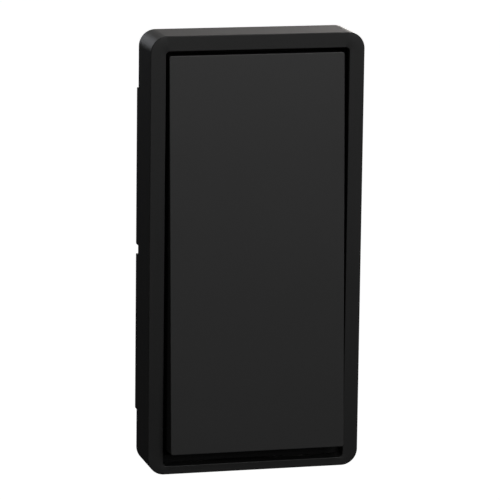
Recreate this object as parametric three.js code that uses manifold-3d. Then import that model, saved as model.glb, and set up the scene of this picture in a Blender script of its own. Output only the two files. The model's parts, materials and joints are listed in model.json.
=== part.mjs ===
// A slim rocker wall switch in the tall rectangular device format.
//
// The switch hangs on a wall. +Z is up, +X is to the right as seen from the room, the wall
// face is y = 0 and the front looks along -Y. A "depth" is a distance out from the wall, so
// depth d lies at y = -d. All sizes are in millimetres.

import * as THREE from 'three';
import { mergeVertices } from 'three/addons/utils/BufferGeometryUtils.js';
import Module from 'manifold-3d';

const wasm = await Module();
wasm.setup();

// ---------------------------------------------------------------- driving dimensions

// Whole switch
const width = 32.7;
const height = 66.5;
const frontDepth = 9.1; // wall face to the frame's flat front
const gap = 0.2; // between pieces that seat on each other
const slideGap = 0.3; // between pieces that slide or snap past each other

// Bezel frame: a moulded shell with a lip round the rocker, and skirts that reach the wall
const standOff = 1.05; // wall face to the shell's rear edge
const frameWall = 1.2;
const frameLip = 1.6;
const frameCorner = 2.5;
const frameEdge = 0.3; // rounding of the front edges
const borderSide = 2.33;
const borderTop = 2.3;
const borderBottom = 1.3;
const openingCorner = 0.6;
const skirtTop = 24.4;
const skirtBottom = -24.9;
const skirtChamfer = 0.12;
const notchCentre = -0.2; // pry slot between the upper and the lower skirt
const notchWidth = 1.46;
const notchBite = 0.4; // how far the slot cuts into the shell itself

// Rocker: a flat plate with a rim, ribs, two pivot ears, two pushers and two magnet cups
const pivotDepth = 4.35;
const endTravel = 1.593; // of each end of the rocker, each way from level
const rockerProud = 1.1; // face in front of the frame when level
const rockerSideGap = 0.6;
const rockerTopGap = 0.72; // to the opening when the top is pressed in
const rockerPlate = 1.3;
const rockerRim = 1.0;
const rockerDepth = 4.4; // face to the rim's rear edge
const rockerCorner = 0.3;
const rockerEdge = 0.22;
const ribWidth = 0.8;
const ribHeight = 1.1;
const ribOffset = 10.4; // of the two long ribs, either side of the middle
const crossRibPitch = 9.6;
const earWidth = 4.6;
const earReach = 1.55; // behind the axle's centre

// Axle
const axleRadius = 0.8;
const axleEnd = 0.35; // how far each end stops short of the chassis's outer face

// Chassis: a ring of four rails with shelves and screw bosses
const railWidth = 1.1;
const chassisRear = 2.4;
const catchReach = 0.5; // how far the frame's catches stand out behind the side rails
const catchHeight = 0.7;
const catchLength = 7;
const catchZ = 11;
const endRailRear = 2.75;
const shelfRear = 3.4;
const shelfThickness = 0.7;
const bossRadius = 1.5;
const bossInset = 3.65; // from the chassis's side face to the boss's centre
const bumperLedge = 0.35;
const bumperLength = 15;
const bumperWidth = 1.3;

// Back cover and its screws
const coverRear = 1.1;
const coverThickness = 1.0;
const coverInset = 0.45; // from the chassis's outline
const screwHeadRadius = 1.3;
const screwHeadHeight = 0.45;
const screwRadius = 0.65;
const screwLength = 2.1;
const recessReach = 0.845; // half the length of each arm of the cross recess
const recessHalf = 0.16; // half its width
const recessDepth = 0.315;
const spacerHeight = 0.2;
const spacerRadius = 0.8;

// Circuit board and what is soldered to it
const boardRear = 2.5;
const boardThickness = 0.7;
const boardSideGap = 0.75; // to the side rails
const boardEndGap = 2.6; // to the end rails
const earClearance = 0.8; // round the rocker's ears

// Coin cell, its contacts and its door
const cellRadius = 10;
const cellThickness = 3.2;
const cellRear = 2.4;
const cellRimGap = 0.9; // from the cell to the board's cut-out
const cellToAxle = 1.7;
const cellChamfer = 0.3;
const cellCrimp = 0.35; // the can's edge, rolled in over the seal
const capInset = 1.2; // of the smaller cap on the cell's inner face
const capRise = 0.25;
const doorRadius = 10.4;
const doorLugRadius = 11.5;
const doorLugAngle = THREE.MathUtils.degToRad(34);
const doorLugThickness = 0.3;
const doorLugRoot = 1.5; // how far the lugs run in over the disc
const doorSlotLength = 11;
const doorSlotWidth = 1.6;
const doorSlotDepth = 0.5;

const contactWidth = 3;
const contactThickness = 0.25;
const contactTouch = 2; // half of the stretch that lies on the cell
const contactArch = 0.4; // how far the strip stands clear beside it
const contactLean = 1.4; // of the strip's legs, sideways
const contactFoot = 0.8;
const angleX = 4.5; // the angle that touches the cell's rim
const angleFoot = 1.2;
const angleRise = 1.6;

// Radio and its small parts, above the axle
const radioZ = 11;
const radioWidth = 11;
const radioLength = 12;
const radioHeight = 1.6;
const crystalX = -9;
const crystalZ = 8;
const crystalWidth = 3.2;
const crystalLength = 1.6;
const crystalHeight = 0.7;
const capacitorPitch = 4; // above the crystal
const capacitorWidth = 3.5;
const capacitorLength = 2.8;
const capacitorHeight = 1.5;
const antennaInset = 1.8; // from the board's top edge
const antennaWidth = 6.5;
const antennaLength = 1.6;
const antennaHeight = 1;

// Push switches and latch magnets, set in from the rocker's ends
const endInset = 5;
const switchX = -7;
const switchSize = 4.6;
const switchHeight = 1.3;
const plungerRadius = 1.1;
const plungerStroke = 0.25;
const plungerRise = 0.6; // out of the switch when released
const plungerRoot = 0.4; // inside the switch when released
const wellDepth = 0.95;
const pusherRadius = 1.5;
const magnetX = 8.2;
const magnetRadius = 2;
const magnetThickness = 1.2;
const magnetCupWall = 0.8;
const keeperWidth = 5.6;
const keeperHeight = 5;
const keeperMargin = 0.5; // of the shelf round the plate
const keeperThickness = 0.5;

// Wall plate
const plateThickness = 0.8;
const plateCorner = 2;
const plateSlotLength = 6;
const plateSlotWidth = 3.4;
const plateSlotZ = 19;
const hookWidth = 8;
const hookThickness = 0.5;
const hookNose = 0.4;
const hookTip = 0.45; // height of the nose's slope
const hookGap = 0.1; // from the nose to the frame's end wall
const snapRib = 0.5;
const snapRibHeight = 0.5;

// ---------------------------------------------------------------- worked-out places

const halfWidth = width / 2;
const halfHeight = height / 2;
const openingHalf = halfWidth - borderSide;
const openingTop = halfHeight - borderTop;
const openingBottom = -halfHeight + borderBottom;
const cavityHalfWidth = halfWidth - frameWall;
const cavityHalfHeight = halfHeight - frameWall;
const lipRear = frontDepth - frameLip;
const tilt = Math.asin(endTravel / (openingTop - rockerTopGap));
const catchRear = chassisRear - gap - catchHeight;

const faceReach = frontDepth + rockerProud - pivotDepth; // axle to the rocker's face
const plateReach = faceReach - rockerPlate;
const rimReach = faceReach - rockerDepth;
const rockerHalfWidth = openingHalf - rockerSideGap;
const rockerHalf = (openingTop - rockerTopGap - faceReach * Math.sin(tilt)) / Math.cos(tilt);

const chassisHalfWidth = cavityHalfWidth - slideGap;
const chassisHalfHeight = cavityHalfHeight - slideGap;
const chassisFront = lipRear - slideGap;
const railInner = chassisHalfWidth - railWidth;
const endRailInner = chassisHalfHeight - railWidth;
const shelfFront = shelfRear + shelfThickness;
const bossX = chassisHalfWidth - bossInset;

const coverHalfWidth = chassisHalfWidth - coverInset;
const coverHalfHeight = endRailInner - slideGap;
const coverFront = coverRear + coverThickness;

const boardHalfWidth = railInner - boardSideGap;
const boardHalfHeight = endRailInner - boardEndGap;
const boardFront = boardRear + boardThickness;

const cellZ = -(axleRadius + cellToAxle + cellRadius);
const endZ = rockerHalf - endInset; // height of the push switches, magnets and bosses
const switchFront = boardFront + gap + switchHeight;
const plungerFree = switchFront + plungerRise;
const pusherReach = plungerFree - plungerStroke + gap - pivotDepth + endZ * Math.sin(tilt);
const keeperRear = shelfFront + gap;
const magnetReach = keeperRear + keeperThickness + slideGap - pivotDepth + endZ * Math.sin(tilt);
const bumperZ = rockerHalf - rockerRim / 2;
const bumperFront = pivotDepth + rimReach - rockerHalf * Math.sin(tilt) - gap;

// ---------------------------------------------------------------- geometry helpers

function solid(geometry) {
  const bare = geometry.clone();
  bare.deleteAttribute('normal');
  bare.deleteAttribute('uv');
  const merged = mergeVertices(bare, 1e-5);
  return new wasm.Manifold(new wasm.Mesh({
    numProp: 3,
    vertProperties: Float32Array.from(merged.attributes.position.array),
    triVerts: Uint32Array.from(merged.index.array),
  }));
}

function geometryOf(body) {
  const mesh = body.getMesh();
  const geometry = new THREE.BufferGeometry();
  geometry.setAttribute('position', new THREE.BufferAttribute(mesh.vertProperties, 3));
  geometry.setIndex(new THREE.BufferAttribute(mesh.triVerts, 1));
  geometry.computeVertexNormals();
  return geometry;
}

// A rectangle with round corners, in the plane that faces the room.
function roundedRect(x0, x1, z0, z1, radius) {
  const shape = new THREE.Shape();
  shape.moveTo(x0 + radius, z0);
  shape.lineTo(x1 - radius, z0);
  shape.absarc(x1 - radius, z0 + radius, radius, -Math.PI / 2, 0, false);
  shape.lineTo(x1, z1 - radius);
  shape.absarc(x1 - radius, z1 - radius, radius, 0, Math.PI / 2, false);
  shape.lineTo(x0 + radius, z1);
  shape.absarc(x0 + radius, z1 - radius, radius, Math.PI / 2, Math.PI, false);
  shape.lineTo(x0, z0 + radius);
  shape.absarc(x0 + radius, z0 + radius, radius, Math.PI, Math.PI * 1.5, false);
  return shape;
}

// A flat outline given thickness from depth d0 to depth d1. With an edge, its front and rear
// edges, and those of its holes, are rounded.
function slab(shape, d0, d1, edge = 0, curveSegments = 6) {
  const geometry = new THREE.ExtrudeGeometry(shape, {
    depth: d1 - d0 - 2 * edge,
    bevelEnabled: edge > 0,
    bevelThickness: edge,
    bevelSize: edge,
    bevelOffset: -edge,
    bevelSegments: 3,
    curveSegments,
  });
  geometry.rotateX(Math.PI / 2);
  geometry.translate(0, -(d0 + edge), 0);
  return solid(geometry);
}

function block(x0, x1, d0, d1, z0, z1) {
  const geometry = new THREE.BoxGeometry(x1 - x0, d1 - d0, z1 - z0);
  geometry.translate((x0 + x1) / 2, -(d0 + d1) / 2, (z0 + z1) / 2);
  return solid(geometry);
}

// A round bar that points out of the wall.
function rod(x, z, d0, d1, radius, segments = 24) {
  const geometry = new THREE.CylinderGeometry(radius, radius, d1 - d0, segments);
  geometry.translate(x, -(d0 + d1) / 2, z);
  return solid(geometry);
}

// A round bar that lies along X.
function crossRod(x0, x1, d, z, radius, segments = 24) {
  const geometry = new THREE.CylinderGeometry(radius, radius, x1 - x0, segments);
  geometry.rotateZ(Math.PI / 2);
  geometry.translate((x0 + x1) / 2, -d, z);
  return solid(geometry);
}

// An outline given thickness along one of the frame's axes. The three directions are those of
// the outline's first number, its second number and its thickness.
function prism(shape, directions, start, length, curveSegments = 10) {
  const geometry = new THREE.ExtrudeGeometry(shape, {
    depth: length,
    bevelEnabled: false,
    curveSegments,
  });
  geometry.applyMatrix4(new THREE.Matrix4().makeBasis(...directions));
  geometry.translate(...start);
  return solid(geometry);
}

const outward = new THREE.Vector3(0, -1, 0);
const sideways = new THREE.Vector3(1, 0, 0);
const upward = new THREE.Vector3(0, 0, 1);
const downward = new THREE.Vector3(0, 0, -1);

// A side view, in points of (height, depth), given thickness along X.
function sideProfile(points, x0, x1) {
  const shape = new THREE.Shape(points.map(([z, d]) => new THREE.Vector2(z, d)));
  return prism(shape, [upward, outward, sideways], [x0, 0, 0], x1 - x0);
}

// A view from above, in points of (x, depth), given height along Z.
function topProfile(points, z0, z1) {
  const shape = new THREE.Shape(points.map(([x, d]) => new THREE.Vector2(x, d)));
  return prism(shape, [sideways, outward, downward], [0, 0, z1], z1 - z0);
}

// Sheet metal bent along a line of such points.
function bentStrip(line, thickness, z0, z1) {
  const back = line.map(([x, d]) => [x, d + thickness]).reverse();
  return topProfile([...line, ...back], z0, z1);
}

function join(...bodies) {
  return bodies.flat().reduce((sum, body) => sum.add(body));
}

function cut(body, ...tools) {
  return tools.flat().reduce((rest, tool) => rest.subtract(tool), body);
}

// ---------------------------------------------------------------- bezel frame

function bezelFrame() {
  const outline = roundedRect(-halfWidth, halfWidth, -halfHeight, halfHeight, frameCorner);
  const cavity = roundedRect(
    -cavityHalfWidth, cavityHalfWidth, -cavityHalfHeight, cavityHalfHeight,
    frameCorner - frameWall,
  );
  const lipOutline = outline.clone();
  lipOutline.holes.push(
    roundedRect(-openingHalf, openingHalf, openingBottom, openingTop, openingCorner),
  );
  const lip = slab(lipOutline, lipRear, frontDepth, frameEdge, 12);

  const wallOutline = outline.clone();
  wallOutline.holes.push(cavity);
  const wall = slab(wallOutline, standOff, frontDepth - frameEdge, 0, 12);

  const skirtSpans = [
    [notchCentre + notchWidth / 2, skirtTop],
    [skirtBottom, notchCentre - notchWidth / 2],
  ];
  const skirtRoot = standOff + notchBite;
  const skirts = [-halfWidth, cavityHalfWidth].flatMap((x) => skirtSpans.map(([low, high]) => (
    sideProfile([
      [low, skirtRoot],
      [low, skirtChamfer],
      [low + skirtChamfer, 0],
      [high - skirtChamfer, 0],
      [high, skirtChamfer],
      [high, skirtRoot],
    ], x, x + frameWall)
  )));
  const notch = block(
    -width, width, 0, skirtRoot,
    notchCentre - notchWidth / 2, notchCentre + notchWidth / 2,
  );

  // Ribs inside the end walls, which the wall plate's hooks snap behind.
  const ribSection = [
    [0, coverRear],
    [snapRib, coverRear + snapRibHeight / 2],
    [0, coverRear + snapRibHeight],
  ];
  const ribs = [1, -1].map((end) => {
    const section = ribSection.map(([rise, d]) => [end * (cavityHalfHeight - rise), d]);
    const root = [end * (cavityHalfHeight + frameWall / 2), coverRear + snapRibHeight / 2];
    const points = [...section, root];
    return sideProfile(points, -hookWidth / 2 - 1, hookWidth / 2 + 1);
  });

  // Catches inside the side walls, which hold the chassis in from behind.
  const catches = [1, -1].flatMap((side) => [catchZ, -catchZ].map((z) => {
    const section = [
      [side * (cavityHalfWidth + frameWall / 2), catchRear + catchHeight / 2],
      [side * cavityHalfWidth, catchRear],
      [side * (cavityHalfWidth - catchReach), catchRear + catchHeight / 2],
      [side * (cavityHalfWidth - catchReach), catchRear + catchHeight],
      [side * cavityHalfWidth, catchRear + catchHeight],
    ];
    return topProfile(section, z - catchLength / 2, z + catchLength / 2);
  }));

  return join(cut(join(wall, lip), notch), skirts, ribs, catches);
}

// ---------------------------------------------------------------- rocker and what rides on it

// All of this is drawn level, with the axle's centre as the origin.
function rockerCap() {
  const outline = (inset, radius) => roundedRect(
    -rockerHalfWidth + inset, rockerHalfWidth - inset, -rockerHalf + inset, rockerHalf - inset,
    radius,
  );
  const rounded = slab(outline(0, rockerCorner), rimReach - rockerEdge, faceReach, rockerEdge);
  const behindRim = block(
    -width, width, rimReach - 2 * rockerEdge, rimReach, -height, height,
  );
  const hollow = slab(outline(rockerRim, rockerCorner), rimReach - rockerEdge, plateReach);
  const shell = cut(rounded, behindRim, hollow);

  const ribRear = plateReach - ribHeight;
  const ribRoot = plateReach + rockerPlate / 2;
  const innerWidth = rockerHalfWidth - rockerRim / 2;
  const innerHeight = rockerHalf - rockerRim / 2;
  const longRibs = [-ribOffset, ribOffset].map((x) => block(
    x - ribWidth / 2, x + ribWidth / 2, ribRear, ribRoot, -innerHeight, innerHeight,
  ));
  const crossCount = 2 * Math.floor((rockerHalf - 2) / crossRibPitch / 2) + 1;
  const crossRibs = Array.from({ length: crossCount }, (_, i) => {
    const z = (i - (crossCount - 1) / 2) * crossRibPitch;
    return block(
      -innerWidth, innerWidth, ribRear, ribRoot, z - ribWidth / 2, z + ribWidth / 2,
    );
  });

  // Pivot ears: the rim carried back past the axle, with a round end.
  const earShape = new THREE.Shape();
  earShape.moveTo(-earWidth / 2, rimReach + rockerRim);
  earShape.lineTo(-earWidth / 2, earWidth / 2 - earReach);
  earShape.absarc(0, earWidth / 2 - earReach, earWidth / 2, Math.PI, 2 * Math.PI, false);
  earShape.lineTo(earWidth / 2, rimReach + rockerRim);
  const ears = [-rockerHalfWidth, rockerHalfWidth - rockerRim].map((x) => (
    prism(earShape, [upward, outward, sideways], [x, 0, 0], rockerRim)
  ));
  const bore = crossRod(-width, width, 0, 0, axleRadius + slideGap);

  const pushers = [endZ, -endZ].map((z) => (
    rod(switchX, z, pusherReach, ribRoot, pusherRadius, 20)
  ));
  const cupRadius = magnetRadius + gap;
  const cups = [endZ, -endZ].map((z) => (
    rod(magnetX, z, magnetReach, ribRoot, cupRadius + magnetCupWall)
  ));
  const cupHollows = [endZ, -endZ].map((z) => (
    rod(magnetX, z, magnetReach - gap, magnetReach + magnetThickness + gap, cupRadius)
  ));

  const moulding = join(shell, longRibs, crossRibs, ears, pushers, cups);
  return cut(moulding, bore, cupHollows);
}

function latchMagnet(z) {
  return rod(magnetX, z, magnetReach, magnetReach + magnetThickness, magnetRadius);
}

// ---------------------------------------------------------------- axle and chassis

function rockerAxle() {
  const half = chassisHalfWidth - axleEnd;
  return crossRod(-half, half, pivotDepth, 0, axleRadius);
}

function chassis() {
  const ringOutline = roundedRect(
    -chassisHalfWidth, chassisHalfWidth, -chassisHalfHeight, chassisHalfHeight, 1,
  );
  ringOutline.holes.push(
    roundedRect(-railInner, railInner, -endRailInner, endRailInner, 0.5),
  );
  const ring = slab(ringOutline, chassisRear, chassisFront);
  const endReliefs = [endRailInner - 0.01, -chassisHalfHeight - 1].map((z) => block(
    -hookWidth / 2 - 1, hookWidth / 2 + 1, chassisRear - 1, endRailRear,
    z, z + railWidth + 1.01,
  ));

  const rail = railInner + railWidth / 2;
  const sides = [-1, 1];
  const ends = [1, -1];
  const bossShelves = sides.flatMap((side) => ends.map((end) => {
    const xs = [side * (bossX - bossRadius), side * rail].sort((a, b) => a - b);
    return join(
      block(xs[0], xs[1], shelfRear, shelfFront, end * endZ - bossRadius, end * endZ + bossRadius),
      rod(side * bossX, end * endZ, coverFront + gap, shelfFront, bossRadius),
    );
  }));
  const keeperShelves = ends.map((end) => block(
    magnetX - keeperWidth / 2 - keeperMargin, rail, shelfRear, shelfFront,
    end * endZ - keeperHeight / 2 - keeperMargin, end * endZ + keeperHeight / 2 + keeperMargin,
  ));
  const ledges = ends.map((end) => {
    const zs = [end * (bumperZ - bumperWidth), end * (endRailInner + railWidth / 2)];
    zs.sort((a, b) => a - b);
    return block(-rail, rail, endRailRear, endRailRear + bumperLedge, zs[0], zs[1]);
  });
  const screwHoles = sides.flatMap((side) => ends.map((end) => rod(
    side * bossX, end * endZ, coverRear, coverRear + screwHeadHeight + screwLength + gap,
    screwRadius + gap, 16,
  )));
  const bores = crossRod(-width, width, pivotDepth, 0, axleRadius + gap);

  const moulding = join(cut(ring, endReliefs), bossShelves, keeperShelves, ledges);
  return cut(moulding, screwHoles, bores);
}

function bumper(end) {
  const shape = roundedRect(
    -bumperLength / 2, bumperLength / 2,
    end * bumperZ - bumperWidth / 2, end * bumperZ + bumperWidth / 2, bumperWidth / 2 - 0.05,
  );
  return slab(shape, endRailRear + bumperLedge + gap, bumperFront);
}

function keeperPlate(end) {
  const shape = roundedRect(
    magnetX - keeperWidth / 2, magnetX + keeperWidth / 2,
    end * endZ - keeperHeight / 2, end * endZ + keeperHeight / 2, 0.6,
  );
  return slab(shape, keeperRear, keeperRear + keeperThickness);
}

// ---------------------------------------------------------------- circuit board

function circuitBoard() {
  const outline = roundedRect(
    -boardHalfWidth, boardHalfWidth, -boardHalfHeight, boardHalfHeight, 0.8,
  );
  const board = slab(outline, boardRear, boardFront);
  const cellHole = rod(
    0, cellZ, boardRear - 1, boardFront + 1, cellRadius + cellRimGap, 48,
  );
  const bossRoom = bossRadius + slideGap;
  const notches = [-1, 1].flatMap((side) => {
    const outer = side * width;
    const spans = [
      [side * (bossX - bossRoom), endZ, bossRoom],
      [side * (bossX - bossRoom), -endZ, bossRoom],
      [side * (rockerHalfWidth - rockerRim - 0.5), 0, earWidth / 2 + earClearance],
    ];
    return spans.map(([inner, z, half]) => {
      const xs = [inner, outer].sort((a, b) => a - b);
      return block(xs[0], xs[1], boardRear - 1, boardFront + 1, z - half, z + half);
    });
  });
  return cut(board, cellHole, notches);
}

// A surface-mounted part: a block with round corners.
function boardPart(x, z, sizeX, sizeZ, rise, corner = 0.2) {
  const shape = roundedRect(x - sizeX / 2, x + sizeX / 2, z - sizeZ / 2, z + sizeZ / 2, corner);
  return slab(shape, boardFront + gap, boardFront + gap + rise, 0, 3);
}

function pushSwitch(end) {
  const z = end * endZ;
  const body = boardPart(switchX, z, switchSize, switchSize, switchHeight, 0.4);
  const well = rod(
    switchX, z, switchFront - wellDepth, switchFront + 1, plungerRadius + slideGap, 20,
  );
  return cut(body, well);
}

function plunger(end) {
  const pressed = end > 0 ? plungerStroke : 0;
  const front = plungerFree - pressed;
  const rear = switchFront - plungerRoot - pressed;
  return rod(switchX, end * endZ, rear, front, plungerRadius, 20);
}

// ---------------------------------------------------------------- coin cell

function coinCell() {
  const can = [
    [0, 0], [cellRadius - cellChamfer, 0], [cellRadius, cellChamfer],
    [cellRadius, cellThickness - 2 * capRise], [cellRadius - cellCrimp, cellThickness - capRise],
    [cellRadius - capInset, cellThickness - capRise], [cellRadius - capInset, cellThickness],
    [0, cellThickness],
  ].map(([r, y]) => new THREE.Vector2(r, y));
  const geometry = new THREE.LatheGeometry(can, 40);
  geometry.rotateX(Math.PI);
  geometry.translate(0, -cellRear, cellZ);
  return solid(geometry);
}

// The strip that presses on the cell's inner face, sprung from feet on the board.
function negativeContact() {
  const foot = boardFront + gap;
  const touch = cellRear + cellThickness + gap;
  const arch = touch + contactArch;
  const legFoot = cellRadius + cellRimGap + contactArch;
  const half = [
    [contactTouch, touch], [2 * contactTouch, arch], [legFoot - contactLean, arch],
    [legFoot, foot], [legFoot + contactFoot, foot],
  ];
  const line = [...half.map(([x, d]) => [-x, d]).reverse(), ...half];
  const z = cellZ - contactWidth / 2;
  return bentStrip(line, contactThickness, z, z + contactWidth);
}

// The angle that presses on the cell's rim from above, with its foot on the board.
function positiveContact() {
  const foot = boardFront + gap;
  const near = cellZ + cellRadius + gap;
  return sideProfile([
    [near, foot], [near + angleFoot, foot], [near + angleFoot, foot + contactThickness],
    [near + contactThickness, foot + contactThickness],
    [near + contactThickness, foot + angleRise], [near, foot + angleRise],
  ], angleX - contactWidth / 2, angleX + contactWidth / 2);
}

// ---------------------------------------------------------------- back cover and door

function backCover() {
  const outline = roundedRect(
    -coverHalfWidth, coverHalfWidth, -coverHalfHeight, coverHalfHeight, 1.2,
  );
  const plate = slab(outline, coverRear, coverFront);
  const doorHole = rod(0, cellZ, 0, boardRear, doorRadius + slideGap, 48);
  const lugRoom = rod(
    0, cellZ, coverFront - doorLugThickness, boardRear, doorLugRadius + slideGap, 48,
  );
  const counterbores = screwPlaces().map(([x, z]) => (
    rod(x, z, 0, coverRear + screwHeadHeight + gap / 2, screwHeadRadius + gap, 20)
  ));
  const shankHoles = screwPlaces().map(([x, z]) => (
    rod(x, z, 0, coverFront + 1, screwRadius + gap, 16)
  ));
  const spacerZ = endZ - bossRadius - spacerRadius - 1.5;
  const spacers = [-1, 1].flatMap((side) => [spacerZ, earWidth + 1, -spacerZ].map((z) => rod(
    side * (boardHalfWidth - 2), z, coverRear + gap, coverFront + spacerHeight, spacerRadius, 12,
  )));
  return cut(join(plate, spacers), doorHole, lugRoom, counterbores, shankHoles);
}

function screwPlaces() {
  return [-1, 1].flatMap((side) => [1, -1].map((end) => [side * bossX, end * endZ]));
}

// A coin-turned bayonet door: a disc with a slot outside and three lugs behind the cover.
function batteryDoor() {
  const lugRear = coverFront - doorLugThickness + gap;
  const disc = rod(0, cellZ, coverRear, lugRear + doorLugThickness / 2, doorRadius, 48);
  const lugs = [0, 1, 2].map((i) => {
    const middle = Math.PI / 2 + (i * 2 * Math.PI) / 3;
    const shape = new THREE.Shape();
    const inner = doorRadius - doorLugRoot;
    const from = middle - doorLugAngle / 2;
    const to = middle + doorLugAngle / 2;
    shape.absarc(0, cellZ, doorLugRadius, from, to, false);
    shape.absarc(0, cellZ, inner, to, from, true);
    return slab(shape, lugRear, lugRear + doorLugThickness, 0, 6);
  });
  const slot = block(
    -doorSlotLength / 2, doorSlotLength / 2, 0, coverRear + doorSlotDepth,
    cellZ - doorSlotWidth / 2, cellZ + doorSlotWidth / 2,
  );
  return cut(join(disc, lugs), slot);
}

function coverScrew(x, z) {
  const head = rod(x, z, coverRear + gap / 2, coverRear + screwHeadHeight, screwHeadRadius, 20);
  const shank = rod(
    x, z, coverRear + screwHeadHeight / 2, coverRear + screwHeadHeight + screwLength,
    screwRadius, 12,
  );
  const depth = coverRear + recessDepth;
  const recess = [
    block(x - recessReach, x + recessReach, 0, depth, z - recessHalf, z + recessHalf),
    block(x - recessHalf, x + recessHalf, 0, depth, z - recessReach, z + recessReach),
  ];
  return cut(join(head, shank), recess);
}

// ---------------------------------------------------------------- wall plate

function wallPlate() {
  const halfX = chassisHalfWidth;
  const halfZ = cavityHalfHeight - hookNose - snapRib - hookGap;
  const plate = slab(
    roundedRect(-halfX, halfX, -halfZ, halfZ, plateCorner), 0, plateThickness,
  );
  const slots = [plateSlotZ, -plateSlotZ].map((z) => slab(
    roundedRect(
      -plateSlotLength / 2, plateSlotLength / 2,
      z - plateSlotWidth / 2, z + plateSlotWidth / 2, plateSlotWidth / 2 - 0.01,
    ),
    -1, plateThickness + 1, 0, 8,
  ));
  const ribFront = coverRear + snapRibHeight;
  const hooks = [1, -1].map((end) => {
    const outer = halfZ - 0.02;
    const inner = outer - hookThickness;
    const tip = ribFront + gap + hookTip;
    return sideProfile([
      [end * inner, plateThickness / 2], [end * outer, plateThickness / 2],
      [end * outer, ribFront + gap], [end * (outer + hookNose), ribFront + gap],
      [end * outer, tip], [end * inner, tip],
    ], -hookWidth / 2, hookWidth / 2);
  });
  return join(cut(plate, slots), hooks);
}

// ---------------------------------------------------------------- assembly

const blackPlastic = new THREE.MeshStandardMaterial({ color: 0x1c1c1d, roughness: 0.5 });
const innerPlastic = new THREE.MeshStandardMaterial({ color: 0x121213, roughness: 0.6 });
const rubber = new THREE.MeshStandardMaterial({ color: 0x2a2a2a, roughness: 0.9 });
const steel = new THREE.MeshStandardMaterial({ color: 0xa8abad, roughness: 0.35, metalness: 1 });
const nickel = new THREE.MeshStandardMaterial({ color: 0xc9c8c2, roughness: 0.25, metalness: 1 });
const boardGreen = new THREE.MeshStandardMaterial({ color: 0x17492d, roughness: 0.45 });
const ceramic = new THREE.MeshStandardMaterial({ color: 0x8a6f52, roughness: 0.6 });
const actuator = new THREE.MeshStandardMaterial({ color: 0xd8d4c6, roughness: 0.5 });

const rockerSwitch = new THREE.Group();
const rockerPivot = new THREE.Group();
rockerPivot.position.y = -pivotDepth;
rockerPivot.rotation.x = -tilt;
rockerSwitch.add(rockerPivot);

function place(name, body, material, group = rockerSwitch) {
  const mesh = new THREE.Mesh(geometryOf(body), material);
  mesh.name = name;
  group.add(mesh);
}

place('bezel_frame', bezelFrame(), blackPlastic);
place('rocker_cap', rockerCap(), blackPlastic, rockerPivot);
place('latch_magnet_upper', latchMagnet(endZ), nickel, rockerPivot);
place('latch_magnet_lower', latchMagnet(-endZ), nickel, rockerPivot);
place('rocker_axle', rockerAxle(), steel);
place('chassis', chassis(), innerPlastic);
place('bumper_upper', bumper(1), rubber);
place('bumper_lower', bumper(-1), rubber);
place('keeper_plate_upper', keeperPlate(1), steel);
place('keeper_plate_lower', keeperPlate(-1), steel);
place('circuit_board', circuitBoard(), boardGreen);
place('push_switch_upper', pushSwitch(1), innerPlastic);
place('push_switch_lower', pushSwitch(-1), innerPlastic);
place('plunger_upper', plunger(1), actuator);
place('plunger_lower', plunger(-1), actuator);
place('radio_shield', boardPart(0, radioZ, radioWidth, radioLength, radioHeight), nickel);
place(
  'crystal',
  boardPart(crystalX, crystalZ, crystalWidth, crystalLength, crystalHeight),
  nickel,
);
place(
  'chip_antenna',
  boardPart(0, boardHalfHeight - antennaInset, antennaWidth, antennaLength, antennaHeight),
  ceramic,
);
place(
  'reserve_capacitor',
  boardPart(
    crystalX, crystalZ + capacitorPitch, capacitorWidth, capacitorLength, capacitorHeight,
  ),
  ceramic,
);
place('coin_cell', coinCell(), nickel);
place('cell_contact_negative', negativeContact(), nickel);
place('cell_contact_positive', positiveContact(), nickel);
place('back_cover', backCover(), innerPlastic);
place('battery_door', batteryDoor(), innerPlastic);
screwPlaces().forEach(([x, z], i) => place(`cover_screw_${i + 1}`, coverScrew(x, z), steel));
place('wall_plate', wallPlate(), blackPlastic);

export default rockerSwitch;
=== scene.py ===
import json
import math

import bmesh
import bpy
from mathutils import Matrix, Vector


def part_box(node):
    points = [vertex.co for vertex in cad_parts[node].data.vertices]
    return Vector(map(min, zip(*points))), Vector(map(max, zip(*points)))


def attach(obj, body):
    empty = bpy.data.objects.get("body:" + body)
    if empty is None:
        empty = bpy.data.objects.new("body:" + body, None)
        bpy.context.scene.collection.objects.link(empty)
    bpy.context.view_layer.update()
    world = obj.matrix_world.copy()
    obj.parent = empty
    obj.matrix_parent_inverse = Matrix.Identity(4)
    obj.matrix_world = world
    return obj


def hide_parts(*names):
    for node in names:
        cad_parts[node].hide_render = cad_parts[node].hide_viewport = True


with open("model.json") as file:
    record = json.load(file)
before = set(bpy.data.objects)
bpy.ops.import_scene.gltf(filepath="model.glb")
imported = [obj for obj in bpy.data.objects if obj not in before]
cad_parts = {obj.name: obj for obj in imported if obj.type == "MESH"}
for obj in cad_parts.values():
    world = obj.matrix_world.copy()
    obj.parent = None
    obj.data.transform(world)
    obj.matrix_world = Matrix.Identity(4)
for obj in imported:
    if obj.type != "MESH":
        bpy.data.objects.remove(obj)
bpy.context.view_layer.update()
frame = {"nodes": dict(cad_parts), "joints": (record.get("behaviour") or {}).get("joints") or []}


# ---------------------------------------------------------------- bezel frame
# The outer frame is one black ABS moulding: a shell with a lip round the rocker.
# Its two side skirts reach back to the wall, with a pry slot between them, and
# a rib inside each end wall lets the wall plate's hooks snap in.

MM = 0.001                        # the pieces are sized in millimetres
same_place = 1e-7                 # metres


def node_box(node):
    """The low and high corners of a CAD node, in millimetres."""
    low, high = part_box(node)
    return low / MM, high / MM


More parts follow.
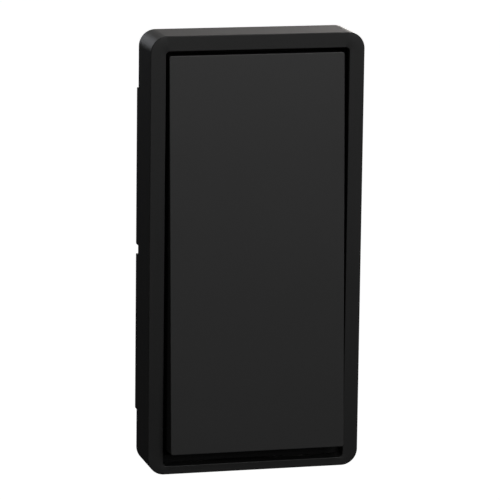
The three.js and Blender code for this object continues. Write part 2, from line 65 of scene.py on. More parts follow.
frame_low, frame_high = node_box("bezel_frame")
half_width = frame_high.x
half_height = frame_high.z
front = -frame_low.y
stand_off = 1.05                  # the shell's rear edge to the wall
frame_wall = 1.2
frame_lip = 1.6
frame_corner = 2.5
frame_edge = 0.12
border_side = 2.33
border_top = 2.3
border_bottom = 1.3
opening_corner = 0.6
skirt_top = 24.4
skirt_bottom = -24.9
skirt_chamfer = 0.12
notch_low = -0.93
notch_high = 0.53
notch_bite = 0.4
fillet_steps = 6
corner_steps = 14


def rounded_loop(bm, x0, x1, z0, z1, radius, depth, steps=corner_steps):
    """A closed loop of edges at one depth out from the wall: a rectangle with round corners."""
    known = set(bm.edges)
    places = ((x0, z0), (x1, z0), (x1, z1), (x0, z1))
    corners = [bm.verts.new((x * MM, -depth * MM, z * MM)) for x, z in places]
    bm.faces.new(corners)
    bmesh.ops.bevel(
        bm,
        geom=corners,
        offset=radius * MM,
        offset_type="OFFSET",
        segments=steps,
        profile=0.5,
        affect="VERTICES",
        material=-1,
    )
    loop = [e for e in bm.edges if e not in known]
    bmesh.ops.delete(bm, geom=[loop[0].link_faces[0]], context="FACES_ONLY")
    return loop


def around(vert, station):
    """The middle of the rounding at the corner of a station that a vertex belongs to."""
    x0, x1, z0, z1, radius, _ = station
    right = vert.co.x > (x0 + x1) / 2 * MM
    upper = vert.co.z > (z0 + z1) / 2 * MM
    x = x1 - radius if right else x0 + radius
    z = z1 - radius if upper else z0 + radius
    return Vector((x * MM, 0, z * MM))


def swept(bm, stations, steps=corner_steps):
    """A skin through rectangles with round corners, each (x0, x1, z0, z1, radius, depth)."""
    ring = rounded_loop(bm, *stations[0], steps)
    rings = [ring]
    for old, new in zip(stations, stations[1:]):
        made = bmesh.ops.extrude_edge_only(bm, edges=ring)["geom"]
        verts = {item for item in made if isinstance(item, bmesh.types.BMVert)}
        for vert in verts:
            spoke = vert.co - around(vert, old)
            spoke.y = 0
            vert.co = around(vert, new) + spoke * (new[4] / old[4])
            vert.co.y = -new[5] * MM
        ring = [
            item for item in made
            if isinstance(item, bmesh.types.BMEdge) and verts.issuperset(item.verts)
        ]
        rings.append(ring)
    return rings


def cut_levels(bm, axis, levels):
    """Adds a line of vertices wherever the mesh crosses each level, in millimetres."""
    for level in levels:
        everything = bm.verts[:] + bm.edges[:] + bm.faces[:]
        bmesh.ops.bisect_plane(
            bm, geom=everything, plane_co=axis * level * MM, plane_no=axis, dist=same_place
        )


def finished(name, bm, material, slot, body, *nodes, sharp=32):
    """Turns the bmesh into a piece that rides on a body and stands for its CAD nodes."""
    bmesh.ops.remove_doubles(bm, verts=bm.verts, dist=same_place)
    bmesh.ops.recalc_face_normals(bm, faces=bm.faces)
    mesh = bpy.data.meshes.new(name)
    bm.to_mesh(mesh)
    bm.free()
    mesh.materials.append(material)
    mesh.shade_smooth()
    mesh.set_sharp_from_angle(angle=math.radians(sharp))
    piece = bpy.data.objects.new(name, mesh)
    bpy.context.scene.collection.objects.link(piece)
    shading = piece.modifiers.new("flat faces stay flat", "WEIGHTED_NORMAL")
    shading.keep_sharp = True
    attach(piece, body)
    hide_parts(*nodes)
    return piece


def new_material(name):
    """A material with its node tree, its shader and the piece's own coordinates."""
    material = bpy.data.materials.new(name)
    material.use_nodes = True
    tree = material.node_tree
    place = tree.nodes.new("ShaderNodeTexCoord").outputs["Object"]
    return material, tree, tree.nodes["Principled BSDF"], place


def noise(tree, place, scale, detail):
    """An irregular pattern from 0 to 1 over the piece."""
    pattern = tree.nodes.new("ShaderNodeTexNoise")
    pattern.inputs["Scale"].default_value = scale
    pattern.inputs["Detail"].default_value = detail
    tree.links.new(place, pattern.inputs["Vector"])
    return pattern.outputs["Fac"]


def two_tones(tree, shader, pattern, dark, light):
    """Lets a pattern take the colour from dark to light."""
    tone = tree.nodes.new("ShaderNodeMix")
    tone.data_type = "RGBA"
    tone.inputs["A"].default_value = (*dark, 1)
    tone.inputs["B"].default_value = (*light, 1)
    tree.links.new(pattern, tone.inputs["Factor"])
    tree.links.new(tone.outputs["Result"], shader.inputs["Base Color"])


def uneven_gloss(tree, shader, pattern, smooth, rough):
    """Lets a pattern take the roughness from smooth to rough."""
    gloss = tree.nodes.new("ShaderNodeMapRange")
    gloss.inputs["To Min"].default_value = smooth
    gloss.inputs["To Max"].default_value = rough
    tree.links.new(pattern, gloss.inputs["Value"])
    tree.links.new(gloss.outputs["Result"], shader.inputs["Roughness"])


def relief(tree, shader, pattern, strength, height):
    """Lets a pattern rise from the surface by height, in metres."""
    bump = tree.nodes.new("ShaderNodeBump")
    bump.inputs["Strength"].default_value = strength
    bump.inputs["Distance"].default_value = height
    tree.links.new(pattern, bump.inputs["Height"])
    tree.links.new(bump.outputs["Normal"], shader.inputs["Normal"])


def moulded_plastic(name, color, roughness, grain=0.0006, depth=0.12, sheen=0.5):
    """Spark-eroded plastic: a fine even grain in the surface, with faint cloudy gloss."""
    material, tree, shader, place = new_material(name)
    shader.inputs["Specular IOR Level"].default_value = sheen
    fine = noise(tree, place, 1 / (grain * 0.35), 2)
    cloud = noise(tree, place, 90, 3)
    two_tones(tree, shader, fine, [c * 0.93 for c in color], [c * 1.07 for c in color])
    uneven_gloss(tree, shader, cloud, roughness - 0.03, roughness + 0.03)
    relief(tree, shader, fine, depth, 0.00002)
    return material


frame_black = moulded_plastic("frame_black", (0.01, 0.01, 0.01), 0.45, sheen=0.3)

bm = bmesh.new()
opening_half = half_width - border_side
opening_top = half_height - border_top
opening_bottom = -half_height + border_bottom
cavity_half = half_width - frame_wall
cavity_top = half_height - frame_wall
lip_rear = front - frame_lip
outline = (-half_width, half_width, -half_height, half_height, frame_corner)
opening = (-opening_half, opening_half, opening_bottom, opening_top, opening_corner)
cavity = (-cavity_half, cavity_half, -cavity_top, cavity_top, frame_corner - frame_wall)


def shrunk(rectangle, inset):
    """The same rectangle drawn in by inset on every side, its corners with it."""
    x0, x1, z0, z1, radius = rectangle
    return x0 + inset, x1 - inset, z0 + inset, z1 - inset, max(radius - inset, 0.01)


def rounded_over(radius, top):
    """A quarter round up to a flat top at one depth, as steps of (inset, depth)."""
    turns = [math.pi / 2 * step / fillet_steps for step in range(fillet_steps + 1)]
    return [(radius * (1 - math.cos(t)), top - radius * (1 - math.sin(t))) for t in turns]


fillet = rounded_over(frame_edge, front)
swept(bm, [
    (*outline, stand_off),
    *[(*shrunk(outline, inset), depth) for inset, depth in fillet],
    *[(*shrunk(opening, -inset), depth) for inset, depth in reversed(fillet)],
    (*opening, lip_rear),
    (*cavity, lip_rear),
    (*cavity, stand_off),
    (*outline, stand_off),
])
bmesh.ops.remove_doubles(bm, verts=bm.verts, dist=same_place)

step = 0.01                       # the width of a drop in the rear edge
rear_line = (
    (skirt_bottom - step, stand_off), (skirt_bottom, skirt_chamfer),
    (skirt_bottom + skirt_chamfer, 0), (notch_low - skirt_chamfer, 0),
    (notch_low - step, skirt_chamfer), (notch_low, stand_off + notch_bite),
    (notch_high, stand_off + notch_bite), (notch_high + step, skirt_chamfer),
    (notch_high + skirt_chamfer, 0), (skirt_top - skirt_chamfer, 0),
    (skirt_top, skirt_chamfer), (skirt_top + step, stand_off),
)
cut_levels(bm, Vector((0, 0, 1)), [z for z, _ in rear_line])
for vert in bm.verts:
    on_rear = abs(vert.co.y + stand_off * MM) < same_place
    level = [d for z, d in rear_line if abs(vert.co.z - z * MM) < 10 * same_place]
    if on_rear and level:
        vert.co.y = -level[0] * MM


def block(bm, x0, x1, d0, d1, z0, z1, edge=0.0, tint=0):
    """A block between two depths, with its edges broken. tint picks the piece's material."""
    middle = Vector(((x0 + x1) / 2, -(d0 + d1) / 2, (z0 + z1) / 2)) * MM
    size = Vector((abs(x1 - x0), abs(d1 - d0), abs(z1 - z0))) * MM
    place = Matrix.Translation(middle) @ Matrix.Diagonal((*size, 1))
    known = set(bm.faces)
    verts = bmesh.ops.create_cube(bm, size=1, matrix=place)["verts"]
    if edge:
        edges = list({e for v in verts for e in v.link_edges})
        bmesh.ops.bevel(
            bm, geom=edges, offset=edge * MM, offset_type="OFFSET", segments=2,
            profile=0.5, affect="EDGES", material=-1,
        )
    for face in bm.faces:
        if face not in known:
            face.material_index = tint


rib_reach = 0.5
rib_length = 10
rib_depths = (1.1, 1.6)
catch_length = 7
catch_depths = (1.5, 2.2)
catch_middle = 11
catch_edge = 0.15
for end in (1, -1):
    block(
        bm, -rib_length / 2, rib_length / 2, *rib_depths,
        end * (cavity_top - rib_reach), end * (cavity_top + frame_wall / 2), catch_edge,
    )
    for side in (1, -1):
        block(
            bm, side * (cavity_half - rib_reach), side * (cavity_half + frame_wall / 2),
            *catch_depths, end * catch_middle - catch_length / 2,
            end * catch_middle + catch_length / 2, catch_edge,
        )
finished("bezel_moulding", bm, frame_black, "frame_black", "housing", "bezel_frame")


# ---------------------------------------------------------------- rocker
# The rocker is a second moulding, a flat plate with a deep rim, tipped about the axle.
# Its face is a little smoother than the frame's, and its edges are just broken.

rocker_tilt = next(j for j in frame["joints"] if j["name"] == "rocker_tilt")
pivot = Vector(rocker_tilt["pos_m"])
tilt = math.radians(rocker_tilt["range_deg"][1] / 2)
pivot_depth = -pivot.y / MM
rocker_proud = 1.1
rocker_side_gap = 0.6
rocker_top_gap = 0.72
rocker_plate = 1.3
rocker_rim = 1.0
rocker_depth = 4.4
rocker_corner = 0.3
rocker_edge = 0.1

face_reach = front + rocker_proud - pivot_depth
rocker_half = (
    (opening_top - rocker_top_gap - face_reach * math.sin(tilt)) / math.cos(tilt)
)
rocker_half_width = opening_half - rocker_side_gap
tip = Matrix.Translation(pivot) @ Matrix.Rotation(-tilt, 4, "X")

rocker_black = moulded_plastic("rocker_black", (0.02, 0.02, 0.02), 0.37, sheen=0.3)

bm = bmesh.new()
rim_reach = face_reach - rocker_depth
rocker_outline = (
    -rocker_half_width, rocker_half_width, -rocker_half, rocker_half, rocker_corner,
)
rocker_hollow = (*shrunk(rocker_outline, rocker_rim)[:4], rocker_corner)
bend = rounded_over(rocker_edge, face_reach)


def closed_off(bm, rings):
    """Closes a skin with a flat face across its first and its last loop."""
    for ring in (rings[0], rings[-1]):
        bmesh.ops.contextual_create(bm, geom=ring)


closed_off(bm, swept(bm, [
    (*rocker_hollow, face_reach - rocker_plate),
    (*rocker_hollow, rim_reach),
    (*rocker_outline, rim_reach),
    *[(*shrunk(rocker_outline, inset), depth) for inset, depth in bend],
]))

rib_half = 0.4
rib_edge = 0.1
rib_rear = face_reach - rocker_plate - 1.1
rib_root = face_reach - rocker_plate / 2
long_rib_x = 10.4
cross_rib_spacing = 9.6
inner_half = rocker_half_width - rocker_rim / 2
inner_top = rocker_half - rocker_rim / 2
for x in (-long_rib_x, long_rib_x):
    block(bm, x - rib_half, x + rib_half, rib_rear, rib_root, -inner_top, inner_top, rib_edge)
for row in range(-2, 3):
    z = row * cross_rib_spacing
    block(bm, -inner_half, inner_half, rib_rear, rib_root, z - rib_half, z + rib_half, rib_edge)

seat_gap = 0.2                    # between pieces that seat on each other
keeper_gap = 0.3                  # a magnet's face to its keeper plate, when held
end_height = rocker_half - 5
pusher_x = -7
pusher_radius = 1.5
pusher_edge = 0.2
cup_x = 8.2
magnet_radius = 2.0
magnet_thickness = 1.2
cup_bore = magnet_radius + seat_gap
cup_outer = cup_bore + 0.8
lift = end_height * math.sin(tilt)
plunger_front = -node_box("plunger_upper")[0].y
keeper_front = -node_box("keeper_plate_upper")[0].y
pusher_reach = plunger_front + seat_gap - pivot_depth + lift
magnet_reach = keeper_front + keeper_gap - pivot_depth + lift
cup_floor = magnet_reach + magnet_thickness + seat_gap


def rod(bm, x, z, d0, d1, radius, edge=0.0, sides=32, tint=0):
    """A round bar that points out of the wall, with its end edges broken."""
    place = Matrix.Translation(Vector((x, -(d0 + d1) / 2, z)) * MM)
    place @= Matrix.Rotation(math.pi / 2, 4, "X")
    known = set(bm.faces)
    verts = bmesh.ops.create_cone(
        bm, cap_ends=True, segments=sides, radius1=radius * MM, radius2=radius * MM,
        depth=(d1 - d0) * MM, matrix=place,
    )["verts"]
    if edge:
        rims = list({
            e for v in verts for e in v.link_edges if any(len(f.verts) > 4 for f in e.link_faces)
        })
        bmesh.ops.bevel(
            bm, geom=rims, offset=edge * MM, offset_type="OFFSET", segments=2,
            profile=0.5, affect="EDGES", material=-1,
        )
    for face in bm.faces:
        if face not in known:
            face.material_index = tint


def lathed(bm, profile, x, z, sides=48, tint=0):
    """A solid turned about a line out of the wall, from points of (radius, depth)."""
    axis = Vector((0, -1, 0))
    points = [bm.verts.new(((x + r) * MM, -d * MM, z * MM)) for r, d in profile]
    edges = [bm.edges.new(pair) for pair in zip(points, points[1:])]
    known = set(bm.faces)
    bmesh.ops.spin(
        bm, geom=points + edges, cent=Vector((x, 0, z)) * MM, axis=axis,
        angle=math.tau, steps=sides, use_merge=True, use_duplicate=False,
    )
    bmesh.ops.remove_doubles(bm, verts=bm.verts, dist=same_place)
    for face in bm.faces:
        if face not in known:
            face.material_index = tint


for end in (1, -1):
    z = end * end_height
    rod(bm, pusher_x, z, pusher_reach, rib_root, pusher_radius, pusher_edge)
    lathed(bm, [
        (0, rib_root), (cup_outer, rib_root), (cup_outer, magnet_reach),
        (cup_bore, magnet_reach), (cup_bore, cup_floor), (0, cup_floor),
    ], cup_x, z)

ear_radius = 2.3
ear_reach = 1.55                  # behind the axle's centre
ear_bore = 1.1
for side in (1, -1):
    middle_x = side * (rocker_half_width - rocker_rim / 2)
    loops = []
    for radius, forward in ((ear_radius, ear_radius - ear_reach), (ear_bore, 0)):
        centre = Vector((middle_x - rocker_rim / 2, -forward, 0)) * MM
        circle = bmesh.ops.create_circle(
            bm, segments=40, radius=radius * MM,
            matrix=Matrix.Translation(centre) @ Matrix.Rotation(math.pi / 2, 4, "Y"),
        )["verts"]
        loops += {e for v in circle for e in v.link_edges}
    ring = bmesh.ops.bridge_loops(bm, edges=loops)["faces"]
    thick = bmesh.ops.extrude_face_region(bm, geom=ring)["geom"]
    bmesh.ops.translate(
        bm, vec=Vector((rocker_rim * MM, 0, 0)),
        verts=[g for g in thick if isinstance(g, bmesh.types.BMVert)],
    )
bmesh.ops.transform(bm, matrix=tip, verts=bm.verts)
finished("rocker_moulding", bm, rocker_black, "rocker_black", "rocker", "rocker_cap")


# ---------------------------------------------------------------- latch magnets
# Two nickel-plated disc magnets are glued into the rocker's cups.
# Their rims are ground round, and the plating is bright with faint haze.

def plated_metal(name, color, roughness, scratch=400, brushed=False):
    """Bare or plated metal: haze in the gloss, with fine scratches or a drawn grain."""
    material, tree, shader, place = new_material(name)
    shader.inputs["Metallic"].default_value = 1
    stretch = tree.nodes.new("ShaderNodeMapping")
    stretch.inputs["Scale"].default_value = (1, 1, 0.04) if brushed else (1, 1, 1)
    tree.links.new(place, stretch.inputs["Vector"])
    haze = noise(tree, stretch.outputs["Vector"], scratch * (10 if brushed else 1), 5)
    two_tones(tree, shader, haze, [c * 0.88 for c in color], color)
    uneven_gloss(tree, shader, haze, roughness * 0.7, roughness * 1.3)
    relief(tree, shader, haze, 0.15, 0.00001)
    return material


magnet_edge = 0.15
magnet_nickel = plated_metal("magnet_nickel", (0.62, 0.61, 0.58), 0.22)
for end, name in ((1, "upper"), (-1, "lower")):
    bm = bmesh.new()
    rod(
        bm, cup_x, end * end_height, magnet_reach, magnet_reach + magnet_thickness,
        magnet_radius, magnet_edge, 48,
    )
    bmesh.ops.transform(bm, matrix=tip, verts=bm.verts)
    finished(
        f"magnet_{name}", bm, magnet_nickel, "magnet_nickel", "rocker",
        f"latch_magnet_{name}",
    )


# ---------------------------------------------------------------- rocker axle
# A ground steel pin with chamfered ends, dropped through the chassis rails and
# the rocker's ears before the frame goes on.

axle_low, axle_high = node_box("rocker_axle")
axle_radius = (axle_high.z - axle_low.z) / 2
axle_chamfer = 0.2
spring_steel = plated_metal("spring_steel", (0.5, 0.5, 0.5), 0.28, 300, True)
bm = bmesh.new()
axle_place = Matrix.Translation(pivot) @ Matrix.Rotation(math.pi / 2, 4, "Y")
bmesh.ops.create_cone(
    bm, cap_ends=True, segments=40, radius1=axle_radius * MM, radius2=axle_radius * MM,
    depth=(axle_high.x - axle_low.x) * MM, matrix=axle_place,
)
end_rims = [e for e in bm.edges if any(len(f.verts) > 4 for f in e.link_faces)]
bmesh.ops.bevel(
    bm, geom=end_rims, offset=axle_chamfer * MM, offset_type="OFFSET", segments=1,
    profile=0.5, affect="EDGES", material=-1,
)
finished("axle_pin", bm, spring_steel, "spring_steel", "housing", "rocker_axle")


# ---------------------------------------------------------------- chassis
# The chassis is a black moulded ring of four rails, with shelves for the keeper
# plates and bosses for the cover screws. Its edges are broken by the mould. Its colour
# is darker than the other black mouldings: painted shade for the gaps round the rocker.

def merged_copy(node):
    """A copy of a node's solid with its loose triangles joined and its flats made whole."""
    bm = bmesh.new()
    bm.from_mesh(frame["nodes"][node].data)
    bmesh.ops.remove_doubles(bm, verts=bm.verts, dist=10 * same_place)
    bmesh.ops.dissolve_limit(
        bm, angle_limit=math.radians(0.5), verts=bm.verts, edges=bm.edges
    )
    return bm


def break_edges(bm, width, least=50):
    """Rounds every edge that turns by more than least degrees."""
    sharp = [
        e for e in bm.edges
        if len(e.link_faces) == 2 and e.calc_face_angle() > math.radians(least)
    ]
    bmesh.ops.bevel(
        bm, geom=sharp, offset=width * MM, offset_type="OFFSET", segments=2,
        profile=0.5, affect="EDGES", material=-1, clamp_overlap=True,
    )


moulded_edge = 0.08
# Darker than the cover's and plate's black: painted shade, so the gaps round the rocker read
# dark.
chassis_black = moulded_plastic("chassis_black", (0.003, 0.003, 0.003), 0.6, sheen=0.12)
bm = merged_copy("chassis")
break_edges(bm, moulded_edge)
finished("chassis_moulding", bm, chassis_black, "chassis_black", "housing", "chassis")


# ---------------------------------------------------------------- bumpers
# Two soft silicone strips stop the rocker's ends without a click.
# They are moulded with round ends and a crowned top, and glued to the chassis.

bumper_crown = 0.3
bumper_rubber = moulded_plastic(
    "bumper_rubber", (0.02, 0.02, 0.02), 0.8, grain=0.0004, depth=0.3, sheen=0.25
)


def rounded_pad(bm, low, high, corner, bend, steps=corner_steps):
    """A flat block with round corners whose front edge is rounded over."""
    pad = (low.x, high.x, low.z, high.z, corner)
    rings = swept(bm, [
        (*pad, -high.y),
        *[(*shrunk(pad, inset), depth) for inset, depth in rounded_over(bend, -low.y)],
    ], steps)
    closed_off(bm, rings)


for name in ("upper", "lower"):
    low, high = node_box(f"bumper_{name}")
    nearly_round = (high.z - low.z) / 2 - 0.02
    bm = bmesh.new()
    rounded_pad(bm, low, high, nearly_round, bumper_crown)
    finished(
        f"bumper_strip_{name}", bm, bumper_rubber, "bumper_rubber", "housing",
        f"bumper_{name}",
    )


# ---------------------------------------------------------------- keeper plates
# The magnets pull to two small zinc-plated steel stampings on the chassis shelves.
# The punch leaves one rolled and one square edge.

keeper_corner = 0.6
keeper_roll = 0.12
keeper_steel = plated_metal("keeper_steel", (0.48, 0.48, 0.5), 0.35, 500)
for name in ("upper", "lower"):
    bm = bmesh.new()
    rounded_pad(bm, *node_box(f"keeper_plate_{name}"), keeper_corner, keeper_roll)
    finished(
        f"keeper_{name}", bm, keeper_steel, "keeper_steel", "housing",
        f"keeper_plate_{name}",
    )


# ---------------------------------------------------------------- circuit board
# A glass-fibre board under green solder mask. Copper tracks show as lighter lines
# under the mask, and tinned pads, vias and a row of small resistors stand on it.

def solder_mask(name, dark, light):
    """Green lacquer over a glass weave, a little cloudy in colour."""
    material, tree, shader, place = new_material(name)
    shader.inputs["Roughness"].default_value = 0.32
    weave = tree.nodes.new("ShaderNodeTexWave")
    weave.inputs["Scale"].default_value = 900
    weave.inputs["Distortion"].default_value = 1.5
    tree.links.new(place, weave.inputs["Vector"])
    two_tones(tree, shader, noise(tree, place, 250, 4), dark, light)
    relief(tree, shader, weave.outputs["Fac"], 0.1, 0.00001)
    return material


board_green = solder_mask("board_green", (0.005, 0.042, 0.02), (0.007, 0.055, 0.027))
track_green = solder_mask("track_green", (0.014, 0.11, 0.045), (0.018, 0.13, 0.055))
tinned_pad = plated_metal("tinned_pad", (0.65, 0.65, 0.62), 0.3, 900)
chip_black = moulded_plastic("chip_black", (0.012, 0.012, 0.012), 0.5, grain=0.0003)
tin, chip, copper = 1, 2, 3       # the board's other materials, in their order on it
board_front = -node_box("circuit_board")[0].y
pad_height = 0.04
solder_height = 0.2               # under a part that stands off the board
track_height = 0.02
track_width = 0.3
bm = merged_copy("circuit_board")
break_edges(bm, 0.05)


def solder_pad(bm, x, z, size_x, size_z, height=pad_height):
    """A tinned land on the board's front, or the solder under a part that stands on it."""
    block(
        bm, x - size_x / 2, x + size_x / 2, board_front - pad_height, board_front + height,
        z - size_z / 2, z + size_z / 2, pad_height / 2, tin,
    )


def track(bm, *points, width=track_width):
    """A copper line under the mask, from point to point of (x, z)."""
    known = set(bm.faces)
    for start, end in zip(points, points[1:]):
        line = Vector((end[0] - start[0], 0, end[1] - start[1]))
        middle = Vector((start[0] + end[0], -2 * board_front, start[1] + end[1])) / 2
        size = Vector((line.length + width * 0.4, track_height * 2, width))
        turn = Matrix.Rotation(-math.atan2(line.z, line.x), 4, "Y")
        bmesh.ops.create_cube(
            bm, size=1,
            matrix=Matrix.Translation(middle * MM) @ turn @ Matrix.Diagonal((*size * MM, 1)),
        )
    for face in bm.faces:
        if face not in known:
            face.material_index = copper


def centre_of(low, high):
    """The middle of a box across the board, as (x, z)."""
    return (low.x + high.x) / 2, (low.z + high.z) / 2


switch_height = centre_of(*node_box("push_switch_upper"))[1]
leg_x = 1.6
leg_reach = 2.65
for end in (1, -1):
    for side_x in (-1, 1):
        for side_z in (-1, 1):
            solder_pad(
                bm, pusher_x + side_x * leg_x, end * switch_height + side_z * leg_reach,
                0.95, 0.7,
            )


def resistor(bm, x, z):
    """A chip resistor: a black body between two tinned ends, each on its land."""
    half_length, half_breadth, height, edge = 0.36, 0.25, 0.38, 0.04
    land_x, cap_x, cap_half, proud = 0.5, 0.44, 0.1, 0.01
    block(
        bm, x - half_length, x + half_length, board_front + pad_height, board_front + height,
        z - half_breadth, z + half_breadth, edge, chip,
    )
    for side in (-1, 1):
        solder_pad(bm, x + side * land_x, z, 0.35, 0.6)
        middle = x + side * cap_x
        block(
            bm, middle - cap_half, middle + cap_half, board_front,
            board_front + height + 2 * proud, z - half_breadth - proud,
            z + half_breadth + proud, edge, tin,
        )


resistor_x = 9.2
resistor_rows = [2.6 + row * 1.5 for row in range(6)]
for z in resistor_rows:
    resistor(bm, resistor_x, z)

radio_low, radio_high = node_box("radio_shield")
radio_z = centre_of(radio_low, radio_high)[1]
land_spacing = 1.4                # of the radio's solder lands, above and below its can
for side_z, edge in ((-1, radio_low.z), (1, radio_high.z)):
    for column in range(-3, 4):
        solder_pad(bm, column * land_spacing, edge + side_z * 0.35, 0.7, 0.8)
for node, inset in (("radio_shield", 0.2), ("crystal", 0.1)):
    low, high = node_box(node)
    size = high - low
    solder_pad(
        bm, *centre_of(low, high), size.x - 2 * inset, size.z - 2 * inset, solder_height
    )
for node in ("chip_antenna", "reserve_capacitor"):
    low, high = node_box(node)
    x, z = centre_of(low, high)
    size = high - low
    for side in (-1, 1):
        solder_pad(bm, x + side * (size.x / 2 - 0.3), z, 0.9, size.z + 0.3, solder_height)
angle_x, angle_z = centre_of(*node_box("cell_contact_positive"))
bridge_low, bridge_high = node_box("cell_contact_negative")
bridge_z = centre_of(bridge_low, bridge_high)[1]
solder_pad(bm, angle_x, angle_z, 3.6, 1.4, solder_height)
for side in (-1, 1):
    solder_pad(bm, side * (bridge_high.x - 0.45), bridge_z, 1.1, 3.4, solder_height)

# The tracks run from the resistors, the switches, the aerial, the capacitor and the
# cell's contacts to the radio, in straight legs with slanted corners.
left, right = radio_low.x, radio_high.x
pad_row = radio_high.z + 0.5
for z in resistor_rows:
    track(bm, (resistor_x - 0.6, z), (right + 1.6, z), (right - 0.2, max(z, 5.6) + 0.4))
    track(bm, (resistor_x + 0.6, z), (resistor_x + 1.5, z), (resistor_x + 2.2, z + 0.7))
for z in (8.0, 12.0):
    track(bm, (-7.8, z), (left, z))
inner_leg, outer_leg = pusher_x + leg_x, pusher_x - leg_x
track(bm, (inner_leg, 22.3), (inner_leg, 19.5), (-4.2, pad_row + 0.5), (-4.2, pad_row))
track(bm, (outer_leg, 22.3), (outer_leg, 14.5), (-7.4, 13.2))
track(bm, (-2.8, 25.6), (-2.8, pad_row), width=0.5)
track(bm, (2.9, 25.6), (2.9, 21), (4.2, 19.6), (4.2, pad_row))
track(bm, (angle_x, angle_z), (angle_x, 3.4), (4.2, 4.4), width=0.6)
track(
    bm, (outer_leg, -22.2), (-10.6, -20.2), (-12.6, -18.2), (-12.6, -5),
    (-11.4, -3.8), (-11.4, 4.2), (-9.6, 6), (left, 6),
)
track(
    bm, (bridge_high.x - 0.4, bridge_z), (12.6, -9.4), (12.6, -5), (11.4, -3.8),
    (11.4, 0.6), (2.8, 4.2),
)
via_radius = 0.22
via_spacing = 2
for side in (-1, 1):
    for row in range(-3, 3):
        rod(
            bm, side * (right + 0.8), radio_z + (row + 0.5) * via_spacing, board_front - 0.1,
            board_front + 0.03, via_radius, 0, 12, tin,
        )
board = finished(
    "board_with_pads", bm, board_green, "board_green", "housing", "circuit_board", sharp=40
)
for material in (tinned_pad, chip_black, track_green):
    board.data.materials.append(material)


# ---------------------------------------------------------------- push switches
# Each push switch is a black body under a thin stamped cover with four legs.
# Its ivory plunger comes up through a round hole.

switch_black = moulded_plastic("switch_black", (0.012, 0.012, 0.012), 0.5)
plunger_ivory = moulded_plastic("plunger_ivory", (0.6, 0.56, 0.47), 0.45)
switch_steel = plated_metal("switch_steel", (0.6, 0.6, 0.58), 0.3, 700)
steel = 1                         # the cover's and the legs' place in the case's materials
lid_thickness = 0.15
lid_corner = 0.45
body_inset = 0.1
body_corner = 0.4
well_radius = 1.4
well_depth = 0.8
leg_half = 0.35
leg_thickness = 0.2
foot_thickness = 0.16
foot_reach = 0.65
leg_edge = 0.04
for name in ("upper", "lower"):
    low, high = node_box(f"push_switch_{name}")
    middle = centre_of(low, high)[1]
    body_front = -low.y - lid_thickness
    bm = bmesh.new()
    body = (
        low.x + body_inset, high.x - body_inset, low.z + body_inset, high.z - body_inset,
        body_corner,
    )
    well = (
        pusher_x - well_radius, pusher_x + well_radius, middle - well_radius,
        middle + well_radius, well_radius - 0.01,
    )
    closed_off(bm, swept(bm, [
        (*body, -high.y), (*body, body_front), (*well, body_front),
        (*well, body_front - well_depth),
    ]))
    lid = (low.x, high.x, low.z, high.z, lid_corner)
    known = set(bm.faces)
    swept(bm, [
        (*well, body_front), (*lid, body_front), (*shrunk(lid, 0.02), -low.y - 0.03),
        (*shrunk(lid, 0.08), -low.y), (*well, -low.y), (*well, body_front),
    ])
    for face in set(bm.faces) - known:
        face.material_index = steel
    foot_rear = board_front + pad_height
    for side_x in (-1, 1):
        for side_z in (-1, 1):
            x, z = pusher_x + side_x * leg_x, middle + side_z * (high.z - low.z) / 2
            block(
                bm, x - leg_half, x + leg_half, foot_rear, body_front,
                z - leg_thickness / 2, z + leg_thickness / 2, leg_edge, steel,
            )
            block(
                bm, x - leg_half, x + leg_half, foot_rear, foot_rear + foot_thickness,
                z, z + side_z * foot_reach, leg_edge, steel,
            )
    case = finished(
        f"switch_body_{name}", bm, switch_black, "switch_body", "housing",
        f"push_switch_{name}",
    )
    case.data.materials.append(switch_steel)

    low, high = node_box(f"plunger_{name}")
    radius = (high.x - low.x) / 2
    rear, tip_front = -high.y, -low.y
    bm = bmesh.new()
    lathed(bm, [
        (0, rear), (radius - 0.05, rear), (radius, rear + 0.05), (radius, tip_front - 0.25),
        (radius - 0.08, tip_front - 0.08), (radius - 0.3, tip_front), (0, tip_front),
    ], pusher_x, middle)
    finished(
        f"plunger_pin_{name}", bm, plunger_ivory, "plunger_ivory", f"{name}_plunger",
        f"plunger_{name}",
    )


# ---------------------------------------------------------------- radio and its small parts
# A drawn tin can shields the radio; its vent holes are not cut but drawn as black
# discs on its face, painted shade. Beside it sit a crystal in a metal can, and a
# ceramic aerial and a ceramic capacitor, both with tinned ends.

shield_nickel = plated_metal("shield_nickel", (0.62, 0.62, 0.59), 0.3, 350)
chip_ceramic = moulded_plastic("chip_ceramic", (0.25, 0.17, 0.1), 0.6, grain=0.0004)
# The material index of the vent discs, which are painted shade where holes would be.
vent_shade_disc = 1                     # the vents' place in the can's materials
can_steps = 8
can_corner = 0.5
can_bend = 0.3
vent_radius = 0.35
vent_spacing_x = 1.8
vent_spacing_z = 1.9
x, z = centre_of(radio_low, radio_high)
can_front = -radio_low.y
bm = bmesh.new()
rounded_pad(bm, radio_low, radio_high, can_corner, can_bend, can_steps)
# Each vent is a black disc flush with the can's face: painted shade in place of a hole.
for column in range(-2, 3):
    for row in range(-2, 3):
        rod(
            bm, x + column * vent_spacing_x, z + row * vent_spacing_z, can_front - 0.2,
            can_front + 0.005, vent_radius, 0, 16, vent_shade_disc,
        )
shield = finished(
    "radio_can", bm, shield_nickel, "shield_nickel", "housing", "radio_shield"
)
# The black of the painted vent shade.
shield.data.materials.append(chip_black)

bm = bmesh.new()
rounded_pad(bm, *node_box("crystal"), can_corner / 2, can_bend / 2, can_steps)
finished("crystal_can", bm, shield_nickel, "shield_nickel", "housing", "crystal")

